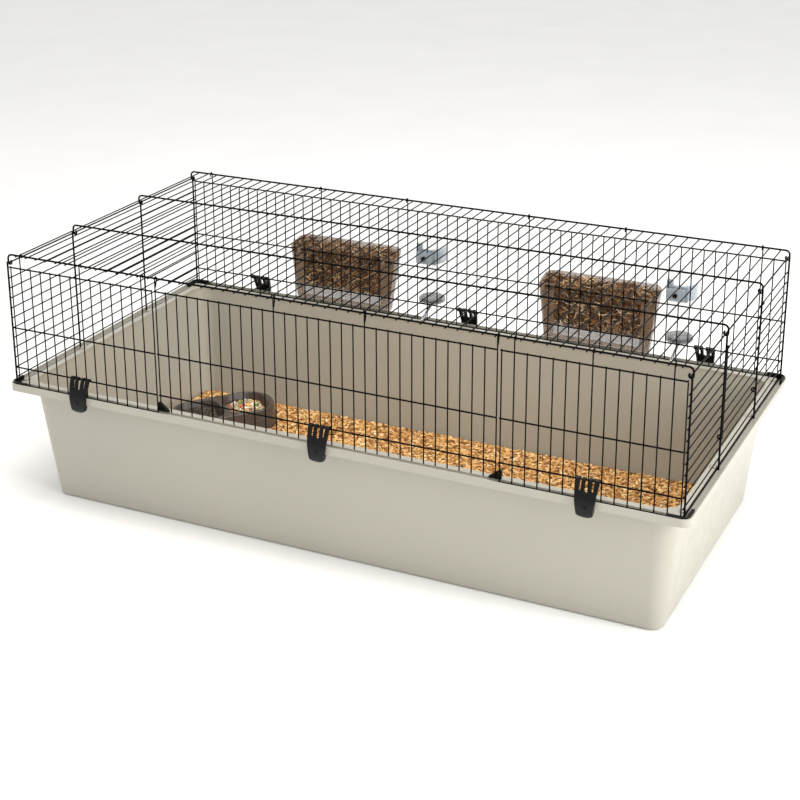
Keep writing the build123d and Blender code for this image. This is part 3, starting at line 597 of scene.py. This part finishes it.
def hold_in_rack(points, low, high):
    """Moves points that would pass through the rack's walls back inside them."""
    middle_x = (low.x + high.x) / 2
    half, depth = hay_room(points[:, 2], low, high)
    half, depth = half - RACK_CLEAR, depth - RACK_CLEAR
    points[:, 0] = np.clip(points[:, 0], middle_x - half, middle_x + half)
    points[:, 1] = np.clip(points[:, 1], low.y + BAR_CLEAR, low.y + depth)
    # Rounded back corners
    corner = RACK_CORNER
    over_x = np.abs(points[:, 0] - middle_x) - (half - corner)
    over_y = points[:, 1] - (low.y + depth - corner)
    out = (over_x > 0) & (over_y > 0)
    reach = np.hypot(over_x, over_y)
    pull = np.where(out & (reach > corner), corner / np.maximum(reach, 1e-9), 1.0)
    points[:, 0] = np.where(
        out, middle_x + np.sign(points[:, 0] - middle_x) * (half - corner + over_x * pull), points[:, 0]
    )
    points[:, 1] = np.where(out, low.y + depth - corner + over_y * pull, points[:, 1])
    return points


def stalks(rng, count, middles, headings, lengths, radii, bend, rings=5):
    """Bent stalks: their middle lines, two directions across each, and the radii."""
    steps = np.linspace(-0.5, 0.5, rings)
    sideways = np.cross(headings, rng.normal(0, 1, (count, 3)))
    sideways /= np.linalg.norm(sideways, axis=1, keepdims=True)
    other = np.cross(headings, sideways)
    bow = rng.normal(0, bend, count)
    kink = rng.normal(0, bend * 0.5, count)
    line = (
        middles[:, None]
        + headings[:, None] * (steps[None, :, None] * lengths[:, None, None])
        + sideways[:, None] * ((steps**2 - 0.08)[None, :, None] * (bow * lengths)[:, None, None])
        + other[:, None] * ((steps**3)[None, :, None] * (kink * lengths)[:, None, None] * 2.0)
    )
    taper = 1.0 - 0.45 * np.abs(steps) * 2
    return line, sideways, other, radii[:, None] * taper[None]


def stalk_mesh(line, sideways, other, radius):
    """The stalks' three-sided, flattened sections, closed at both ends."""
    count, rings, _ = line.shape
    corners = []
    for angle in (90.0, 210.0, 330.0):
        a, b = cos(radians(angle)), 0.6 * sin(radians(angle))
        corners.append(
            line
            + sideways[:, None] * (radius * a)[..., None]
            + other[:, None] * (radius * b)[..., None]
        )
    points = np.stack(corners, 2).reshape(-1, 3)
    walls = [
        (r * 3 + i, r * 3 + (i + 1) % 3, r * 3 + 3 + (i + 1) % 3, r * 3 + 3 + i)
        for r in range(rings - 1)
        for i in range(3)
    ]
    last = (rings - 1) * 3
    ends = [(2, 1, 0), (last, last + 1, last + 2)]
    return points, [repeat_faces(walls, rings * 3, count), repeat_faces(ends, rings * 3, count)]


def add_hay(side, seed):
    low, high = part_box(f"hay_{side}")
    rng = np.random.default_rng(seed)
    body = f"hay_rack_{side}"
    middle_x = (low.x + high.x) / 2
    hay_foot = low.z + 0.002

    def heap_top(x, y):
        """How high the hay stands: lower at the bars, with tufts."""
        t = (x - middle_x) / (high.x - low.x)
        back = (y - low.y) / (high.y - low.y)
        return high.z - 0.018 + 0.015 * back + 0.004 * np.sin(17 * t + seed) + 0.003 * np.sin(41 * t)

    # Core: a lumpy block that closes the gaps between the stalks, coloured near-black: the hay's own
    # brown darkened as painted shade for the depths of the hay
    cols, rows, tall = CORE_GRID
    gx, gy, gz = np.meshgrid(*(np.arange(n) for n in CORE_GRID), indexing="ij")
    skin = (gx % (cols - 1) == 0) | (gy % (rows - 1) == 0) | (gz % (tall - 1) == 0)
    number = -np.ones(skin.shape, int)
    number[skin] = np.arange(skin.sum())
    u, v, w = gx[skin] / (cols - 1), gy[skin] / (rows - 1), gz[skin] / (tall - 1)
    core_foot, core_top = hay_foot + 0.006, high.z - 0.026
    z = core_foot + w * (core_top - core_foot)
    half, deep = hay_room(z, low, high)
    x = middle_x + (u - 0.5) * 2 * (half - 0.009)
    y = low.y + 0.008 + v * (deep - 0.016)
    core = np.stack([x, y, z], -1) + rng.normal(0, 0.0016, (len(x), 3))
    core[:, 2] += (w == 1) * (heap_top(core[:, 0], core[:, 1]) - core_top - 0.005)
    edge_rise = 0.009 * (2 * np.abs(u - 0.5)) ** 3 + 0.004 * np.sin(23 * u + seed) ** 2
    core[:, 2] += (1 - w) * edge_rise
    core = hold_in_rack(core, low, high)
    quads = []
    for axis, last in enumerate((cols - 1, rows - 1, tall - 1)):
        for at, flip in ((0, axis != 1), (last, axis == 1)):
            face = np.take(number, at, axis)
            q = grid_quads(face)
            quads.append(q[:, ::-1] if flip else q)
    core_piece = add_piece(
        f"hay_core_{side}", core, quads, [hay_core_painted_shade_look()], body, smooth=True
    )
    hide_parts(f"hay_{side}")

    # Stalks over the block's faces: most along the front, the top and the back
    count = STALK_COUNT
    where = rng.choice(len(STALK_SHARES), count, p=STALK_SHARES)
    t = rng.uniform(-1.0, 1.0, count)
    z = rng.uniform(0.0, 1.0, count) * (high.z - 0.020 - hay_foot)
    z = z + hay_foot + 0.006 * np.abs(t) ** 3
    half, deep = hay_room(z, low, high)
    x = middle_x + t * half
    y = low.y + rng.uniform(0.0, 1.0, count) * deep
    y = np.where(where == FRONT, low.y + rng.uniform(0.001, 0.010, count), y)
    y = np.where(where == BACK, low.y + deep - rng.uniform(0.001, 0.010, count), y)
    edge = half - rng.uniform(0.001, 0.012, count)
    x = np.where(where == SIDES, middle_x + np.where(t > 0, edge, -edge), x)
    z = np.where(where == TOP, heap_top(x, y) - rng.uniform(0.0, 0.010, count), z)
    headings = rng.normal(0, 1, (count, 3)) * np.array([1.0, 0.35, 0.62])
    headings[where == TOP] *= np.array([1.0, 1.6, 0.34])
    headings[where == SIDES] *= np.array([0.3, 2.4, 1.4])
    headings /= np.linalg.norm(headings, axis=1, keepdims=True)
    lengths = rng.uniform(*STALK_LENGTHS, count)
    radii = rng.uniform(*STALK_RADII, count)
    line, sideways, other, radius = stalks(
        rng, count, np.stack([x, y, z], -1), headings, lengths, radii, STALK_BEND
    )
    flat = line.reshape(-1, 3)
    flat[:, 2] = np.clip(flat[:, 2], low.z + 0.001, high.z + 0.004)
    line = hold_in_rack(flat, low, high).reshape(line.shape)
    points, faces = stalk_mesh(line, sideways, other, radius)
    add_piece(f"hay_stalks_{side}", points, faces, [straw_look()], body)


# ---------------------------------------------------------------------------------------------
# Feed
# ---------------------------------------------------------------------------------------------
GRAIN_SIDES = 8
# Places along the length and radii of the rings, for pieces 1 long and 1 across
PELLET_RINGS = ((-0.5, 0.32), (-0.42, 0.5), (0.0, 0.5), (0.42, 0.5), (0.5, 0.32))
SEED_RINGS = ((-0.44, 0.2), (-0.3, 0.4), (-0.05, 0.5), (0.22, 0.38), (0.4, 0.18))
WELL_HALF = (0.0500, 0.0550)
WELL_CORNER = 0.033
MOUND_RINGS, MOUND_SIDES = 12, 48
GRAINS_PER_WELL = 460
GRAIN_TILT = 0.4


def grain_shape(rings, sides=GRAIN_SIDES):
    """A round piece through the given rings, closed by a point at each end."""
    angles = [2 * pi * i / sides for i in range(sides)]
    points = [(x, r * cos(a), r * sin(a)) for x, r in rings for a in angles]
    following = [(i + 1) % sides for i in range(sides)]
    walls = [
        (k * sides + j, k * sides + i, (k + 1) * sides + i, (k + 1) * sides + j)
        for k in range(len(rings) - 1)
        for i, j in enumerate(following)
    ]
    points += [(-0.5, 0, 0), (0.5, 0, 0)]
    first, last = len(points) - 2, len(points) - 1
    top = (len(rings) - 1) * sides
    caps = [(first, i, j) for i, j in enumerate(following)]
    caps += [(last, top + j, top + i) for i, j in enumerate(following)]
    return np.array(points), walls, caps


def add_filling(name, node, kinds, body, seed):
    """Loose pieces heaped in one well, over a bed of the same stuff.

    Each kind is a share, a shape, the smallest and largest size, and a material.
    """
    low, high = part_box(node)
    rng = np.random.default_rng(seed)
    _, along, across = bowl_frame()
    middle = (low + high) / 2
    half_u, half_v = WELL_HALF
    corner = WELL_CORNER
    points, quads, triangles, quad_slots, triangle_slots = [], [], [], [], []

    # Bed: a low mound that follows the well's outline
    rings, sides = MOUND_RINGS, MOUND_SIDES
    angles = np.linspace(0, 2 * pi, sides, endpoint=False)
    outline = []
    for a in angles:
        reach = np.linspace(0, 0.08, 400)
        fits = inside_round_box(
            reach * cos(a), reach * sin(a), half_u - 0.001, half_v - 0.001, corner
        )
        outline.append(reach[fits].max())
    outline = np.array(outline)
    bed = []
    for k in range(1, rings + 1):
        share = k / rings
        u, v = outline * share * np.cos(angles), outline * share * np.sin(angles)
        z = high.z - 0.003 + 0.003 * (1 - share**2) + rng.normal(0, 0.0003, sides)
        bed.append(np.stack([u, v, z], -1))
    bed_foot = low.z + 0.0004
    bed.append(np.stack([bed[-1][:, 0] * 0.96, bed[-1][:, 1] * 0.96, np.full(sides, bed_foot)], -1))
    bed = np.concatenate(bed + [np.array([[0, 0, high.z], [0, 0, bed_foot]])])
    points.append(bowl_to_frame(bed, middle, along, across))
    following = [(i + 1) % sides for i in range(sides)]
    walls = [
        (k * sides + i, (k + 1) * sides + i, (k + 1) * sides + j, k * sides + j)
        for k in range(rings)
        for i, j in enumerate(following)
    ]
    top, bottom = len(bed) - 2, len(bed) - 1
    caps = [(top, i, j) for i, j in enumerate(following)]
    caps += [(bottom, rings * sides + j, rings * sides + i) for i, j in enumerate(following)]
    quads.append(np.array(walls))
    triangles.append(np.array(caps))
    quad_slots.append(np.zeros(len(walls)))
    triangle_slots.append(np.zeros(len(caps)))
    start = len(bed)

    for slot_number, (portion, shape, smallest, largest, _) in enumerate(kinds):
        count = int(GRAINS_PER_WELL * portion)
        u = rng.uniform(-half_u, half_u, count * 3)
        v = rng.uniform(-half_v, half_v, count * 3)
        margin = largest[0] / 2 + 0.0006
        keep = inside_round_box(np.abs(u) + margin, np.abs(v) + margin, half_u, half_v, corner)
        u, v = u[keep][:count], v[keep][:count]
        count = len(u)
        share = np.hypot(u / half_u, v / half_v)
        z = high.z - 0.002 + 0.0035 * (1 - share**2) + rng.uniform(-0.001, 0.0042, count)
        centres = bowl_to_frame(np.stack([u, v, z], -1), middle, along, across)
        sizes = rng.uniform(smallest, largest, (count, 3))
        shape_points, shape_walls, shape_caps = shape
        points.append(scatter(shape_points, centres, turns(rng, count, GRAIN_TILT), sizes))
        quads.append(repeat_faces(shape_walls, len(shape_points), count) + start)
        triangles.append(repeat_faces(shape_caps, len(shape_points), count) + start)
        quad_slots.append(np.full(len(shape_walls) * count, slot_number))
        triangle_slots.append(np.full(len(shape_caps) * count, slot_number))
        start += len(shape_points) * count
    piece = add_piece(
        name,
        np.concatenate(points),
        [np.concatenate(quads), np.concatenate(triangles)],
        [kind[4] for kind in kinds],
        body,
        smooth=True,
        face_slots=np.concatenate(quad_slots + triangle_slots),
    )
    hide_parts(node)


def bowl_to_frame(points, middle, along, across):
    """From places along and across the bowl to the frame's x and y; heights stay."""
    x = middle.x + points[:, 0] * along.x + points[:, 1] * across.x
    y = middle.y + points[:, 0] * along.y + points[:, 1] * across.y
    return np.stack([x, y, points[:, 2]], -1)


def add_feed():
    pellet, seed = grain_shape(PELLET_RINGS), grain_shape(SEED_RINGS)
    add_filling(
        "pellet_filling",
        "dark_pellets",
        [
            (0.75, pellet, (0.008, 0.0044, 0.0044), (0.013, 0.0052, 0.0052),
             grain_look("dark_pellet", (0.018, 0.013, 0.009), (0.07, 0.05, 0.035), 0.6)),
            (0.12, pellet, (0.006, 0.0044, 0.0044), (0.009, 0.0052, 0.0052),
             grain_look("brown_pellet", (0.06, 0.04, 0.02), (0.14, 0.09, 0.05), 0.6)),
        ],
        "feeder_bowl",
        SEED + 41,
    )
    add_filling(
        "mixed_filling",
        "mixed_feed",
        [
            (0.26, seed, (0.010, 0.0042, 0.004), (0.016, 0.0062, 0.005),
             grain_look("oat_grain", (0.24, 0.13, 0.045), (0.74, 0.54, 0.27))),
            (0.22, seed, (0.013, 0.0062, 0.004), (0.019, 0.0086, 0.0054), striped_seed_look()),
            (0.10, seed, (0.008, 0.0070, 0.0045), (0.0115, 0.0095, 0.006),
             grain_look("maize_grain", (0.78, 0.42, 0.05), (0.95, 0.68, 0.16), 0.4)),
            (0.12, pellet, (0.010, 0.0056, 0.0056), (0.016, 0.0066, 0.0066),
             grain_look("green_pellet", (0.08, 0.13, 0.03), (0.24, 0.30, 0.09), 0.6)),
            (0.08, pellet, (0.009, 0.0056, 0.0056), (0.014, 0.0066, 0.0066),
             grain_look("red_pellet", (0.34, 0.04, 0.02), (0.6, 0.10, 0.05), 0.5)),
            (0.18, seed, (0.011, 0.0085, 0.002), (0.017, 0.012, 0.003),
             grain_look("pale_flake", (0.75, 0.66, 0.48), (0.93, 0.88, 0.74), 0.5)),
        ],
        "feeder_bowl",
        SEED + 42,
    )


# ---------------------------------------------------------------------------------------------
# Finishes of the frame's own nodes
# ---------------------------------------------------------------------------------------------
WIRE_NODES = (
    "roof_panel",
    "back_panel",
    "left_end_panel",
    "right_end_panel",
    "side_door",
    "front_left_panel",
    "front_right_panel",
    "front_door",
)


def dress_nodes():
    wire, clip, boot = wire_look(), black_plastic_look(), boot_look()
    rack, bottle, cap, bracket = rack_look(), bottle_look(), cap_look(), bracket_look()
    finishes = {
        "tub": tub_look(),
        "feeder_bowl": bowl_look(),
        **{name: wire for name in WIRE_NODES},
    }
    steel, ball = steel_look("tube_steel", 0.16), steel_look("ball_steel", 0.06)
    for side in ("left", "right"):
        finishes[f"door_guide_{side}"] = boot
        finishes[f"hay_rack_{side}"] = rack
        finishes[f"water_bottle_{side}"] = bottle
        finishes[f"bottle_cap_{side}"] = cap
        finishes[f"bottle_bracket_{side}"] = bracket
        finishes[f"clamp_plate_{side}"] = bracket
        finishes[f"clamp_knob_{side}"] = clip
        finishes[f"drinking_tube_{side}"] = steel
        finishes[f"tube_ball_{side}"] = ball
        for end in ("front", "back"):
            finishes[f"corner_boot_{end}_{side}"] = boot
    for end in ("front", "back"):
        for place in ("left", "centre", "right"):
            finishes[f"{end}_clip_{place}"] = clip
    for name, material in finishes.items():
        mesh = nodes[name].data
        mesh.materials.clear()
        mesh.materials.append(material)


add_camera()
add_studio()
dress_nodes()
add_bedding()
add_hay("left", SEED + 21)
add_hay("right", SEED + 22)
add_feed()
